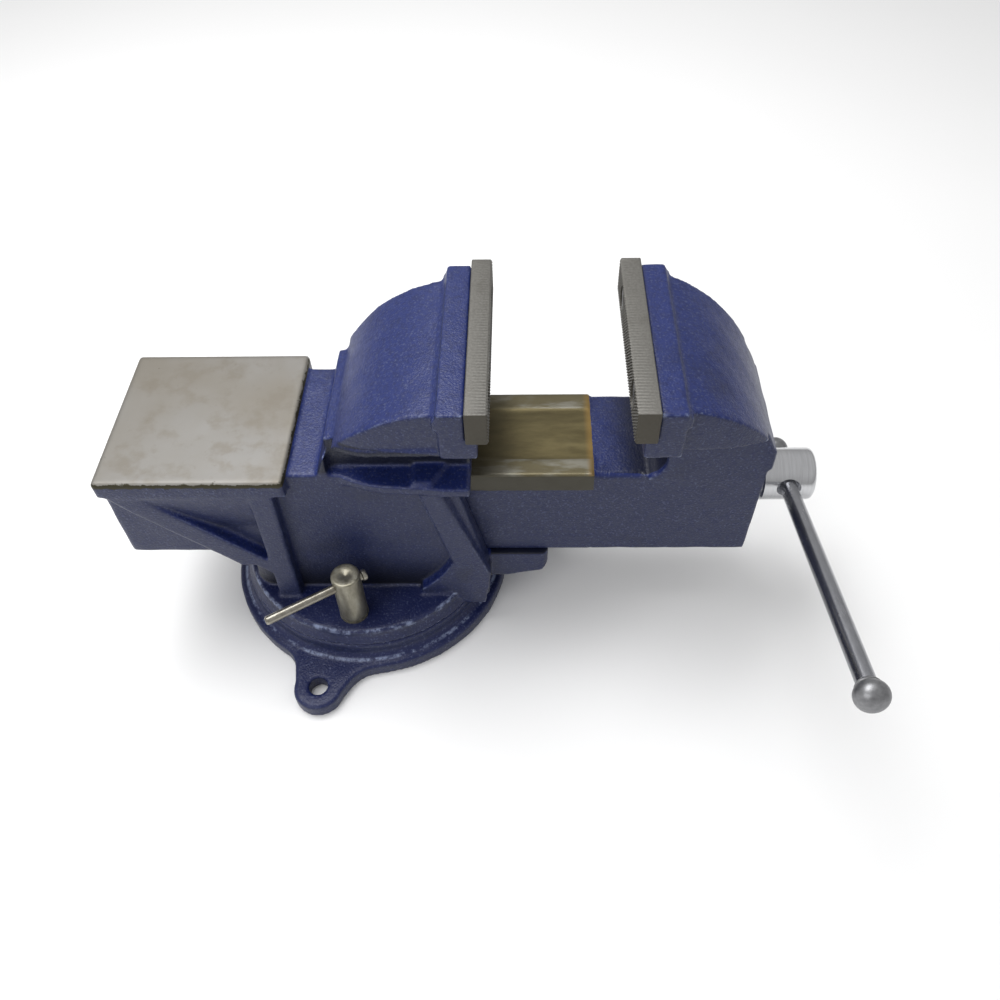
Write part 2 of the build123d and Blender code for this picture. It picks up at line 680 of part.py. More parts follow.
def make_screw_spring():
    gap = face_clearance
    length = spring_length - gap
    mean_radius = screw_diameter / 2 + 2 + spring_wire / 2
    pitch = length / spring_turns
    path = Helix(pitch, length + pitch / 2, mean_radius)
    wire = sweep(Plane(path @ 0, z_dir=path % 0) * Circle(spring_wire / 2), path=path)
    wire = Pos(0, 0, -pitch / 4) * wire
    keep = Cylinder(mean_radius + spring_wire, length,
                    align=(Align.CENTER, Align.CENTER, Align.MIN))
    return Pos(end_wall_inner_x - length, 0, screw_z) * Rot(0, 90, 0) * (wire & keep)


def make_screw_nut():
    top = screw_z + screw_diameter / 2 + nut_crown
    solid = block(nut_start_x, nut_start_x + nut_length, nut_width / 2, passage_floor, top)
    solid = fillet(solid.edges().filter_by(Axis.X).group_by(Axis.Z)[-1], 12)
    bore = screw_diameter / 2 + running_clearance
    solid -= rod_x(bore, nut_start_x - 1, nut_start_x + nut_length + 1)
    bolt_x = nut_start_x + nut_length / 2
    depth = passage_floor + nut_bolt_grip + 2
    return solid - rod_z(nut_bolt_diameter / 2, passage_floor - 1, depth, x=bolt_x)


def make_nut_bolt():
    bolt_x = nut_start_x + nut_length / 2
    washer = 3.0
    under = passage_floor - floor_wall - washer
    head_height = 0.65 * nut_bolt_diameter
    head = Pos(bolt_x, 0, under - head_height) * extrude(
        RegularPolygon(0.8 * nut_bolt_diameter, 6, major_radius=False), amount=head_height)
    shank = rod_z(nut_bolt_diameter / 2, under, passage_floor + nut_bolt_grip, x=bolt_x)
    return head + chamfer(shank.edges().group_by(Axis.Z)[-1], 1.2)


def make_nut_bolt_washer():
    bolt_x = nut_start_x + nut_length / 2
    top = passage_floor - floor_wall
    ring = rod_z(nut_bolt_diameter, top - 3.0, top, x=bolt_x)
    return ring - rod_z(nut_bolt_diameter / 2 + 0.2, top - 4, top + 1, x=bolt_x)


# ================================================================ handle
def make_handle_bar():
    near = handle_near - knob_depth / 2 + 1
    far = handle_far - knob_depth / 2 + 1
    bar = Pos(0, 0, (near - far) / 2) * Cylinder(handle_diameter / 2, near + far)
    spigot = Pos(0, 0, (near - far) / 2) * Cylinder(
        knob_spigot_diameter / 2, near + far + 2 * (knob_depth - 6))
    return along_handle(bar + spigot)


def make_knob(near):
    """Forged round end, drawn about its own axis with the bar side at z = 0."""
    radius = knob_diameter / 2
    neck = handle_diameter / 2 + 0.4
    shoulder = (neck + 1.2, knob_depth * 0.1)
    widest = (radius, knob_depth * 0.52)
    rim = (radius * 0.8, knob_depth * 0.87)
    crown = (knob_spigot_diameter / 2, knob_depth * 0.985)
    pocket = knob_depth - 6
    hole = knob_spigot_diameter / 2
    outline = Polyline((hole, 0), (neck, 0), shoulder)
    outline += ThreePointArc(shoulder, (radius * 0.94, knob_depth * 0.3), widest)
    outline += ThreePointArc(widest, (radius * 0.95, knob_depth * 0.72), rim)
    outline += ThreePointArc(rim, (radius * 0.6, knob_depth * 0.95), crown)
    outline += Polyline(crown, (0, knob_depth), (0, pocket), (hole, pocket), (hole, 0))
    knob = revolve(Plane.XZ * make_face(outline), axis=Axis.Z)
    inner = (handle_near if near else handle_far) - knob_depth / 2 + 1
    placed = Pos(0, 0, inner) * knob
    return along_handle(placed if near else Rot(180, 0, 0) * placed)


# ================================================================ swivel locks
def make_clamp_bolts():
    """Two T bolts that slide round the slot of the base."""
    bolts = []
    turn = degrees(atan2(lock_y, lock_x))
    for side in (-1, 1):
        head = Box(clamp_head_length, clamp_head_width, 8.5, align=(Align.CENTER, Align.CENTER, Align.MAX))
        head = chamfer(head.edges().filter_by(Axis.Z), 3)
        head = Pos(lock_x, side * lock_y, slot_ceiling) * Rot(0, 0, side * turn) * head
        shank = rod_z(clamp_bolt_diameter / 2, slot_ceiling - 1, lock_bar_z - 8,
                      x=lock_x, y=side * lock_y)
        bolts.append(head + chamfer(shank.edges().group_by(Axis.Z)[-1], 1.0))
    return Compound(children=bolts)


def make_clamp_washers():
    washers = []
    for side in (-1, 1):
        place = {"x": lock_x, "y": side * lock_y}
        ring = rod_z(lock_washer_diameter / 2, disc_top, disc_top + lock_washer_thickness, **place)
        washers.append(ring - rod_z(clamp_bolt_diameter / 2 + 0.3, 0, 100, **place))
    return Compound(children=washers)


def along_lock_bar(shape, side):
    """Carry a shape drawn along +X to a lock bar's line (-X is its long end)."""
    return Pos(lock_x, side * lock_y, lock_bar_z) * Rot(0, 0, -side * lock_bar_angle) * shape


def make_lock_nut(side):
    seat = disc_top + lock_washer_thickness + face_clearance
    place = {"x": lock_x, "y": side * lock_y}
    nut = rod_z(lock_nut_diameter / 2, seat, lock_nut_top, **place)
    nut = fillet(nut.edges().group_by(Axis.Z)[-1], lock_nut_dome)
    nut = chamfer(nut.edges().group_by(Axis.Z)[0], 1.0)
    bore = clamp_bolt_diameter / 2 + running_clearance
    nut -= rod_z(bore, seat - 1, lock_bar_z - 7, **place)
    hole = Rot(0, 90, 0) * Cylinder(lock_bar_diameter / 2 + running_clearance, 2 * lock_nut_diameter)
    return nut - along_lock_bar(hole, side)


def make_lock_bar(side):
    radius = lock_bar_diameter / 2
    bar = Pos((lock_bar_short - lock_bar_long) / 2, 0, 0) * Rot(0, 90, 0) * Cylinder(
        radius, lock_bar_short + lock_bar_long)
    knob = Rot(0, 90, 0) * Cylinder(lock_knob_diameter / 2, lock_knob_length)
    knob = fillet(knob.edges().filter_by(GeomType.CIRCLE), 1.4)
    bar = chamfer(bar.edges().group_by(Axis.X)[0], lock_bar_end)
    return along_lock_bar(bar + Pos(lock_bar_short - lock_knob_length / 2, 0, 0) * knob, side)


# ================================================================ export
parts = {
    "swivel_base": make_swivel_base(),
    "fixed_body": make_fixed_body(),
    "movable_jaw": make_movable_jaw(),
    "fixed_jaw_plate": make_jaw_plate(fixed_face_x, -1),
    "movable_jaw_plate": make_jaw_plate(movable_face_x, 1),
    "fixed_plate_screws": make_plate_screws(fixed_face_x, -1),
    "movable_plate_screws": make_plate_screws(movable_face_x, 1),
    "lead_screw": make_lead_screw(),
    "thrust_washer": make_thrust_washer(),
    "retaining_washer": make_retaining_washer(),
    "split_pin": make_split_pin(),
    "screw_spring": make_screw_spring(),
    "screw_nut": make_screw_nut(),
    "nut_bolt": make_nut_bolt(),
    "nut_bolt_washer": make_nut_bolt_washer(),
    "handle_bar": make_handle_bar(),
    "handle_knob_near": make_knob(True),
    "handle_knob_far": make_knob(False),
    "clamp_bolts": make_clamp_bolts(),
    "clamp_washers": make_clamp_washers(),
    "front_lock_nut": make_lock_nut(-1),
    "front_lock_bar": make_lock_bar(-1),
    "rear_lock_nut": make_lock_nut(1),
    "rear_lock_bar": make_lock_bar(1),
}

os.makedirs("parts", exist_ok=True)
for name, shape in parts.items():
    export_step(shape, f"parts/{name}.step")
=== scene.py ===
import bmesh
import bpy
import math
import numpy as np
from mathutils import Matrix, Vector


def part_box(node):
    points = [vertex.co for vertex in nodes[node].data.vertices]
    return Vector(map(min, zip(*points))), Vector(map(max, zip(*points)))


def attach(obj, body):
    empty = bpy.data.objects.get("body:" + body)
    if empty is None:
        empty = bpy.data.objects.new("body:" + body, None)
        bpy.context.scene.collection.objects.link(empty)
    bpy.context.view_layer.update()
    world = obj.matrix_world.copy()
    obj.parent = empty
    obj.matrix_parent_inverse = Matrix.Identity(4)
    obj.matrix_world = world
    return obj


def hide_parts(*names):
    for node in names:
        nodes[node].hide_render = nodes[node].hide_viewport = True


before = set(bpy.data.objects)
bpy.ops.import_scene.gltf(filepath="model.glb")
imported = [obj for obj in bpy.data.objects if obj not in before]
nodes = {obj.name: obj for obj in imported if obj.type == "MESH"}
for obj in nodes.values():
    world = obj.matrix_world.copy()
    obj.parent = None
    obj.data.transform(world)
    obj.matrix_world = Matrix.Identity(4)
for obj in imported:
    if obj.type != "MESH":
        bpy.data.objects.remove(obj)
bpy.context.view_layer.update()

# ------------------------------------------------------------------ sizes, in metres
ANVIL_TOP = 0.171
ANVIL_RIGHT = -0.0337
ANVIL_BEVEL = 0.0016          # paint ends this far below the ground face
ANVIL_BAND = 0.0050           # bare, oil-dark edge under it
SLIDE_TOP = 0.1518
SLIDE_HALF = 0.04025
RAIL_HEIGHT = 0.0158
LAND_WIDTH = 0.0155
MACHINED_END = 0.173
DISC_TOP = 0.040
COLUMN_HALF = 0.0545
COLUMN_FRONT = 0.100
COLUMN_SHADE_FADE = 0.045           # height over which the painted shade fades out
TONGUE_TOP = 0.0670
SHOULDER_TOP = 0.167
RECESS_LEFT = -0.012
RECESS_ROOF = 0.203
RIMS = (                      # radius, lowest and highest Z of each round edge with a painted highlight
    (0.0950, DISC_TOP - 0.004, DISC_TOP + 0.001),
    (0.1042, 0.0115, 0.0150),
)

TOOTH_PITCH = 0.0026
TOOTH_DEPTH = 0.0008
TOOTH_STEPS = 4               # mesh columns to one tooth
PLATE_CHAMFER = 0.0006
PLATE_SCREW_Y = 0.046
PLATE_BORE = 0.00525
PLATE_SINK = 0.0093
PLATE_SINK_DEPTHS = (0.0012, 0.0053)
PLATE_BORE_END = 0.017

SCREW_Z = 0.107
SCREW_RADIUS = 0.012
THREAD_PITCH = 0.006
THREAD_DEPTH = 0.0026
THREAD_PROFILE = ((0.0, 0), (0.32, 0), (0.40, 1), (0.60, 1), (0.68, 0))  # share of pitch, of depth
THREAD_RUNOUT = 0.009         # the thread stops this far before the retaining washer
COLLAR_RADIUS = 0.017
HEAD_START = 0.2982
HEAD_CHAMFER = 0.0014
HEAD_ROUND = 0.0042
HANDLE_BORE = 0.00615
BORE_FLARE = 0.0100           # the bore's mouths widen by this
BORE_STRAIGHT = 0.0168
BORE_REACH = 0.026

HANDLE_X = 0.3172
HANDLE_TILT = math.radians(13.5)
HANDLE_RADIUS = 0.0061
HANDLE_EDGE = 0.0004
KNOB_NEAR = 0.212
KNOB_FAR = -0.0295
KNOB_DEPTH = 0.017
KNOB_RADIUS = 0.0105
KNOB_LAP = 0.001              # the bar reaches into the knob by this

LOCK_ANGLE = math.radians(31.5)
LOCK_BAR_Z = 0.0785
LOCK_BORE = 0.00605
LOCK_CAP = 0.018              # metal above the bolt's bore
LOCK_RIM = 0.0016
LOCK_DIMPLE = 0.0013
LOCK_CROSS_BORE = 0.00335
LOCK_BAR_RADIUS = 0.0033
LOCK_BAR_LONG = -0.0625
LOCK_BAR_SHORT = 0.0155
LOCK_KNOB_RADIUS = 0.0043

WAVE_HEIGHT = 0.00009         # sand-cast unevenness
WAVES = (                     # direction with wave number, phase
    ((210, 130, 90), 0.3), ((-120, 240, 160), 1.7), ((80, -170, 260), 2.9),
    ((330, 290, -210), 4.1), ((-410, 190, 370), 5.3),
)
CASTINGS = (                  # piece, node, body, material, voxel, faces, smoothing passes
    ("fixed_body_casting", "fixed_body", "body", "fixed_enamel", 0.0013, 150000, 7),
    ("movable_jaw_casting", "movable_jaw", "jaw", "slide_enamel", 0.0012, 110000, 6),
    ("swivel_base_casting", "swivel_base", "base", "base_enamel", 0.0013, 80000, 6),
)
BEND_STEPS = 5                # straight pieces in one rounded corner
SEGMENTS = 96
SMALL_SEGMENTS = 40
ROD_SEGMENTS = 64
MERGE = 1e-6                  # vertices closer than this are one


# ------------------------------------------------------------------ node helpers
class Graph:
    """Builds one Principled material, node by node."""

    def __init__(self, name):
        self.material = bpy.data.materials.new(name)
        self.material.use_nodes = True
        self.tree = self.material.node_tree
        self.shader = self.tree.nodes["Principled BSDF"]
        self.place = self.add("ShaderNodeTexCoord").outputs["Object"]

    def add(self, kind, inputs=None, **settings):
        made = self.tree.nodes.new(kind)
        for key, value in settings.items():
            setattr(made, key, value)
        for key, value in (inputs or {}).items():
            self.feed(made.inputs[key], value)
        return made

    def feed(self, socket, value):
        if isinstance(value, bpy.types.NodeSocket):
            self.tree.links.new(value, socket)
        else:
            socket.default_value = value

    def math(self, operation, a, b=0.0, c=0.0):
        return self.add("ShaderNodeMath", {0: a, 1: b, 2: c}, operation=operation).outputs[0]

    def product(self, first, *others):
        for other in others:
            first = self.math("MULTIPLY", first, other)
        return first

    def between(self, value, low, high):
        """1 where a value lies between two limits, 0 elsewhere."""
        return self.product(self.math("GREATER_THAN", value, low), self.math("LESS_THAN", value, high))

    def noise(self, scale, detail=3.0, roughness=0.5, stretch=(1, 1, 1), distortion=0.0):
        place = self.add("ShaderNodeMapping", {"Vector": self.place, "Scale": stretch}).outputs[0]
        return self.add("ShaderNodeTexNoise", {
            "Vector": place, "Scale": scale, "Detail": detail, "Roughness": roughness,
            "Distortion": distortion}).outputs["Fac"]

    def cells(self, scale, smooth=0.4):
        return self.add("ShaderNodeTexVoronoi", {
            "Vector": self.place, "Scale": scale, "Smoothness": smooth},
            feature="SMOOTH_F1").outputs["Distance"]

    def ramp(self, value, low, high, to_low=0.0, to_high=1.0):
        """Smooth step from one value to another as the input goes from low to high."""
        return self.add("ShaderNodeMapRange", {
            "Value": value, "From Min": low, "From Max": high,
            "To Min": to_low, "To Max": to_high}, interpolation_type="SMOOTHSTEP").outputs[0]

    def mix(self, factor, a, b):
        made = self.add("ShaderNodeMix", data_type="RGBA")
        self.feed(made.inputs["Factor"], factor)
        self.feed(made.inputs[6], a)
        self.feed(made.inputs[7], b)
        return made.outputs[2]

    def blend(self, factor, a, b):
        made = self.add("ShaderNodeMix", data_type="FLOAT")
        self.feed(made.inputs["Factor"], factor)
        self.feed(made.inputs[2], a)
        self.feed(made.inputs[3], b)
        return made.outputs[0]

    def axes(self):
        split = self.add("ShaderNodeSeparateXYZ", {0: self.place})
        return split.outputs[0], split.outputs[1], split.outputs[2]

    def facing(self, axis=2):
        """How far the surface looks along one of the object's axes."""
        normal = self.add("ShaderNodeNewGeometry").outputs["Normal"]
        local = self.add("ShaderNodeVectorTransform", {0: normal}, vector_type="NORMAL",
                         convert_from="WORLD", convert_to="OBJECT").outputs[0]
        return self.add("ShaderNodeSeparateXYZ", {0: local}).outputs[axis]

    def edges(self, low, high):
        """Pointiness mask of outer edges, or of inner corners when low is above high."""
        pointiness = self.add("ShaderNodeNewGeometry").outputs["Pointiness"]
        return self.ramp(pointiness, low, high)

    def bumps(self, *layers):
        """Each layer is (height socket, distance in metres, strength)."""
        normal = None
        for height, distance, strength in layers:
            inputs = {"Height": height, "Distance": distance, "Strength": strength}
            if normal is not None:
                inputs["Normal"] = normal
            normal = self.add("ShaderNodeBump", inputs).outputs[0]
        self.feed(self.shader.inputs["Normal"], normal)

    def finish(self, colour, roughness, metallic):
        self.feed(self.shader.inputs["Base Color"], colour)
        self.feed(self.shader.inputs["Roughness"], roughness)
        self.feed(self.shader.inputs["Metallic"], metallic)
        return self.material


# ------------------------------------------------------------------ materials
BLUE_DEEP = (0.006, 0.011, 0.062, 1)
BLUE_MAIN = (0.011, 0.021, 0.112, 1)
# greyer blue for side faces: a painted sheen, standing in for the paint's reflection
BLUE_SIDE_SHEEN = (0.019, 0.024, 0.058, 1)
# painted shade: darker blue for everything below the disc top
BLUE_LOW_SHADE = (0.006, 0.011, 0.060, 1)
BLUE_PALE = (0.070, 0.085, 0.170, 1)
# colour of painted highlights
GLINT = (0.260, 0.310, 0.470, 1)
# dark colour for dirt (large noise) and for painted shade (corners and shade masks)
GRIME_AND_SHADE = (0.004, 0.005, 0.010, 1)
STEEL = (0.215, 0.207, 0.192, 1)
STEEL_WARM = (0.190, 0.175, 0.150, 1)
STEEL_PALE = (0.225, 0.219, 0.208, 1)
STEEL_BROWN = (0.165, 0.147, 0.120, 1)
STEEL_SPOT = (0.12, 0.10, 0.07, 1)
OLIVE = (0.040, 0.036, 0.020, 1)
OIL = (0.150, 0.122, 0.054, 1)
OIL_PALE = (0.185, 0.160, 0.085, 1)
OIL_DARK = (0.092, 0.074, 0.032, 1)
# darkest tone on the slide top, towards the fixed jaw
SLIDE_BLACK = (0.040, 0.032, 0.014, 1)
LAND_DULL = (0.135, 0.118, 0.070, 1)
LAND_PALE = (0.265, 0.260, 0.225, 1)
RAIL_DARK = (0.042, 0.038, 0.026, 1)
RAIL_PALE = (0.066, 0.062, 0.048, 1)
RUST = (0.235, 0.150, 0.045, 1)
IRON_DARK = (0.06, 0.06, 0.062, 1)
IRON_PALE = (0.13, 0.13, 0.13, 1)
IRON_RUST = (0.12, 0.075, 0.04, 1)
ENAMEL_SPECULAR = 0.36


def rim_glint(g, rim, low, high):
    """Painted highlight: a broken line of light along a round edge about Z, between two heights."""
    x, y, z = g.axes()
    squares = g.math("ADD", g.product(x, x), g.product(y, y))
    distance = g.math("ABSOLUTE", g.math("SUBTRACT", g.math("SQRT", squares), rim))
    broken = g.ramp(g.noise(110, 4.0, 0.7), 0.44, 0.64)
    return g.product(g.ramp(distance, 0.0004, 0.0018, 0.7, 0.0), g.between(z, low, high), broken)


def enamel(name, bare=None, shade=None):
    """Hammered blue enamel; `bare` adds a machined region, `shade` gives a mask of painted shade."""
    g = Graph(name)
    dimples = g.cells(700)
    fine = g.noise(1300, 3.0)
    mottle = g.noise(300, 4.0, 0.65)
    height = g.axes()[2]
    # painted shade: faces below the disc top get the darker blue
    main = g.mix(g.ramp(height, DISC_TOP + 0.001, DISC_TOP + 0.008), BLUE_LOW_SHADE, BLUE_MAIN)
    # painted sheen: side faces turn greyer, faces looking up keep the bluer colour
    body = g.mix(g.ramp(g.facing(), 0.1, 0.75, 0.9, 0.0), main, BLUE_SIDE_SHEEN)
    body = g.mix(g.ramp(mottle, 0.42, 0.66, 0.0, 0.6), body, BLUE_DEEP)
    body = g.mix(g.ramp(g.noise(620, 2.0), 0.56, 0.70, 0.0, 0.55), body, BLUE_PALE)
    body = g.mix(g.ramp(g.noise(22, 3.0), 0.55, 0.78, 0.0, 0.35), body, GRIME_AND_SHADE)
    # painted highlights along outer edges, broken up by noise
    glint = g.product(g.edges(0.525, 0.575), g.ramp(g.noise(210, 3.0), 0.44, 0.60, 0.05, 0.75))
    body = g.mix(glint, body, GLINT)
    # painted highlights along the round rims
    for rim in RIMS:
        body = g.mix(rim_glint(g, *rim), body, GLINT)
    # painted shade in inner corners
    body = g.mix(g.product(g.edges(0.485, 0.42), 0.8), body, GRIME_AND_SHADE)
    # painted shade where the shade mask is set
    if shade is not None:
        body = g.mix(shade(g), body, GRIME_AND_SHADE)
    gloss = g.blend(mottle, 0.30, 0.48)
    metallic = 0.0
    if bare is not None:
        mask, bare_colour, bare_roughness, bare_metallic = bare(g)
        body = g.mix(mask, body, bare_colour)
        gloss = g.blend(mask, gloss, bare_roughness)
        metallic = g.product(mask, bare_metallic)
        dimples = g.product(dimples, g.math("SUBTRACT", 1.0, mask))
    g.bumps((g.noise(60, 2.0), 0.0008, 0.2), (dimples, 0.0004, 0.42), (fine, 0.0002, 0.25))
    g.shader.inputs["Specular IOR Level"].default_value = ENAMEL_SPECULAR
    return g.finish(body, gloss, metallic)


def body_shade(g):
    """Painted shade at the foot of the column, on the tongue and in the recess under the round back."""
    x, y, z = g.axes()
    upright = g.ramp(g.facing(), 0.3, 0.7, 1.0, 0.0)
    column = g.product(g.ramp(z, DISC_TOP, DISC_TOP + COLUMN_SHADE_FADE, 0.9, 0.0),
                       g.math("GREATER_THAN", z, DISC_TOP), g.math("LESS_THAN", x, COLUMN_FRONT),
                       g.math("LESS_THAN", g.math("ABSOLUTE", y), COLUMN_HALF))
    recess = g.product(g.ramp(z, SHOULDER_TOP, SHOULDER_TOP + 0.004, 0.0, 0.75),
                       g.math("LESS_THAN", z, RECESS_ROOF), g.math("GREATER_THAN", x, RECESS_LEFT))
    tongue = g.product(g.ramp(z, TONGUE_TOP - 0.0005, TONGUE_TOP + 0.0005, 0.0, 0.9),
                       g.math("LESS_THAN", z, TONGUE_TOP + 0.003), g.math("GREATER_THAN", x, COLUMN_FRONT))
    return g.math("MAXIMUM", g.product(g.math("MAXIMUM", column, recess), upright), tongue)


def jaw_shade(g):
    """Painted shade in the corner under the gripping face of the sliding jaw."""
    x, y, z = g.axes()
    across = g.math("ABSOLUTE", y)
    return g.product(g.ramp(x, 0.176, 0.206, 0.0, 0.85), g.math("LESS_THAN", x, 0.240),
                     g.ramp(z, 0.164, 0.178, 1.0, 0.0), g.math("GREATER_THAN", z, SLIDE_TOP - 0.0012),
                     g.ramp(across, SLIDE_HALF - 0.0018, SLIDE_HALF - 0.0008, 1.0, 0.0))


def anvil_bare(g):
    """Ground anvil face with a ragged paint edge, blotched by old oil."""
    x, _, z = g.axes()
    ragged = g.math("MULTIPLY_ADD", g.noise(190, 4.0, 0.7), 0.0048, -0.0025)
    level = g.math("ADD", z, ragged)
    face = g.ramp(level, ANVIL_TOP - ANVIL_BEVEL, ANVIL_TOP - ANVIL_BEVEL + 0.0006)
    band = g.ramp(level, ANVIL_TOP - ANVIL_BAND, ANVIL_TOP - ANVIL_BAND + 0.0014)
    mask = g.product(band, g.math("LESS_THAN", x, ANVIL_RIGHT + 0.0004),
                     g.math("LESS_THAN", z, ANVIL_TOP + 0.002))
    cloud = g.noise(17, 3.0, 0.5, stretch=(1.0, 0.7, 1), distortion=0.25)
    colour = g.mix(g.ramp(cloud, 0.30, 0.72), STEEL_WARM, STEEL_PALE)
    colour = g.mix(g.ramp(g.noise(7, 3.0), 0.40, 0.7, 0.0, 0.6), colour, STEEL)
    colour = g.mix(g.ramp(g.noise(48, 4.0, 0.6), 0.46, 0.66, 0.0, 0.6), colour, STEEL_BROWN)
    colour = g.mix(g.ramp(g.noise(160, 4.0, 0.7), 0.60, 0.78, 0.0, 0.25), colour, STEEL_SPOT)
    colour = g.mix(face, OLIVE, colour)
    return mask, colour, g.blend(g.noise(30, 3.0), 0.46, 0.56), 0.6


def slide_bare(g):
    """Machined rails of the slide under a film of old oil."""
    x, y, z = g.axes()
    ragged = g.math("MULTIPLY_ADD", g.noise(160, 3.0, 0.7), 0.0016, -0.0008)
    mask = g.product(g.math("LESS_THAN", g.math("ADD", x, ragged), MACHINED_END),
                     g.math("GREATER_THAN", g.math("ADD", z, ragged), SLIDE_TOP - RAIL_HEIGHT))
    land_edge = SLIDE_HALF - LAND_WIDTH
    land = g.ramp(g.math("ABSOLUTE", y), land_edge - 0.0004, land_edge + 0.0004)
    streak = g.noise(70, 4.0, 0.6, stretch=(0.28, 1.0, 1))
    film = g.mix(g.ramp(streak, 0.35, 0.7), OIL_DARK, OIL)
    film = g.mix(g.ramp(g.noise(28, 3.0), 0.5, 0.75, 0.0, 0.5), film, OIL_PALE)
    rubbed = g.ramp(g.noise(34, 4.0, 0.6, stretch=(0.6, 2.0, 1)), 0.45, 0.62)
    film = g.mix(g.product(land, 0.75), film, g.mix(rubbed, LAND_DULL, LAND_PALE))
    wavering_x = g.math("ADD", x, g.product(ragged, 6.0))
    # darker towards the fixed jaw
    film = g.mix(g.ramp(wavering_x, 0.106, 0.124, 0.6, 0.0), film, SLIDE_BLACK)
    film = g.mix(g.ramp(x, MACHINED_END - 0.006, MACHINED_END - 0.001, 0.0, 0.8), film, RUST)
    side = g.mix(g.noise(70, 3.0), RAIL_DARK, RAIL_PALE)
    colour = g.mix(g.ramp(z, SLIDE_TOP - 0.0016, SLIDE_TOP - 0.0006), side, film)
    return mask, colour, g.blend(streak, 0.22, 0.42), 0.55


def metal(name, base, pale, dark, rough=(0.25, 0.45), metallic=0.9, grain=(1, 1, 1), grain_scale=300,
          stain=0.35, edge=0.4, bump=0.00006, shaded_sides=False):
    """Machined or plated metal: brushed grain, stains, worn edges and, if asked, painted shade on ends and
    sides.
    """
    g = Graph(name)
    brushed = g.noise(grain_scale, 4.0, 0.65, stretch=grain)
    cloud = g.noise(45, 4.0, 0.6)
    colour = g.mix(g.ramp(brushed, 0.3, 0.72), base, pale)
    colour = g.mix(g.ramp(cloud, 0.5, 0.75, 0.0, stain), colour, dark)
    if shaded_sides:
        # painted shade: ends and side faces darker than the top
        ends = g.ramp(g.math("ABSOLUTE", g.facing(1)), 0.3, 0.8, 0.0, 0.85)
        colour = g.mix(g.math("MAXIMUM", ends, g.ramp(g.facing(), 0.2, 0.8, 0.45, 0.0)), colour, dark)
    colour = g.mix(g.product(g.edges(0.52, 0.60), edge), colour, pale)
    roughness = g.blend(g.product(g.math("ADD", brushed, cloud), 0.5), *rough)
    g.bumps((brushed, bump, 0.6), (g.noise(90, 3.0), 4 * bump, 0.3))
    return g.finish(colour, roughness, metallic)


def cast_iron(name):
    """Unpainted casting with a trace of rust."""
    g = Graph(name)
    grain = g.noise(420, 4.0, 0.6)
    colour = g.mix(g.ramp(grain, 0.35, 0.7), IRON_DARK, IRON_PALE)
    colour = g.mix(g.ramp(g.noise(40, 3.0), 0.52, 0.72, 0.0, 0.5), colour, IRON_RUST)
    g.bumps((grain, 0.0004, 0.5))
    return g.finish(colour, g.blend(grain, 0.45, 0.7), 0.4)


METALS = {
    "plate_steel": dict(
        base=(0.128, 0.123, 0.112, 1), pale=(0.170, 0.165, 0.152, 1), dark=(0.050, 0.044, 0.032, 1),
        rough=(0.40, 0.58), grain_scale=620, metallic=0.7, stain=0.25, edge=0.0, shaded_sides=True),
    "bright_steel": dict(
        base=(0.52, 0.525, 0.54, 1), pale=(0.60, 0.605, 0.62, 1), dark=(0.36, 0.36, 0.37, 1),
        rough=(0.12, 0.19), grain=(2.5, 0.15, 0.15), grain_scale=240, metallic=1.0, stain=0.25,
        bump=0.000008),
    "handle_steel": dict(
        base=(0.30, 0.305, 0.325, 1), pale=(0.37, 0.375, 0.40, 1), dark=(0.19, 0.19, 0.20, 1),
        rough=(0.22, 0.31), grain=(1.5, 0.2, 1.5), grain_scale=260, metallic=1.0, stain=0.2,
        bump=0.00001),
    "knob_steel": dict(
        base=(0.21, 0.212, 0.22, 1), pale=(0.28, 0.282, 0.29, 1), dark=(0.12, 0.12, 0.125, 1),
        rough=(0.36, 0.48), metallic=0.95),
    "thread_steel": dict(
        base=(0.16, 0.155, 0.145, 1), pale=(0.34, 0.33, 0.31, 1), dark=(0.05, 0.045, 0.035, 1),
        grain=(1, 3, 3), grain_scale=200, rough=(0.25, 0.42), stain=0.6),
    "lock_zinc": dict(
        base=(0.21, 0.195, 0.150, 1), pale=(0.33, 0.315, 0.255, 1), dark=(0.10, 0.085, 0.05, 1),
        rough=(0.28, 0.46), grain=(1, 1, 0.25), grain_scale=240, metallic=0.85),
    "lock_bar_steel": dict(
        base=(0.24, 0.225, 0.190, 1), pale=(0.33, 0.315, 0.275, 1), dark=(0.10, 0.08, 0.05, 1),
        rough=(0.26, 0.38), stain=0.5, edge=0.15),
    "black_steel": dict(
        base=(0.045, 0.045, 0.048, 1), pale=(0.10, 0.10, 0.105, 1), dark=(0.02, 0.02, 0.02, 1),
        rough=(0.32, 0.5), metallic=0.8),
    "plain_steel": dict(
        base=(0.24, 0.235, 0.225, 1), pale=(0.40, 0.39, 0.375, 1), dark=(0.10, 0.08, 0.055, 1),
        rough=(0.3, 0.5)),
}
materials = {name: metal(name, **look) for name, look in METALS.items()}
materials["fixed_enamel"] = enamel("fixed_enamel", anvil_bare, body_shade)
materials["slide_enamel"] = enamel("slide_enamel", slide_bare, jaw_shade)
materials["base_enamel"] = enamel("base_enamel")
materials["nut_iron"] = cast_iron("nut_iron")


# ------------------------------------------------------------------ mesh helpers
def add_piece(name, mesh, material, body, replaced):
    """New visual piece on a body, in place of the CAD nodes it replaces."""
    mesh.materials.clear()
    mesh.materials.append(materials[material])
    piece = bpy.data.objects.new(name, mesh)
    bpy.context.scene.collection.objects.link(piece)
    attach(piece, body)
    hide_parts(*replaced)


def mesh_from(vertices, faces, name="mesh"):
    mesh = bpy.data.meshes.new(name)
    mesh.from_pydata([tuple(v) for v in vertices], [], faces)
    mesh.update()
    return mesh


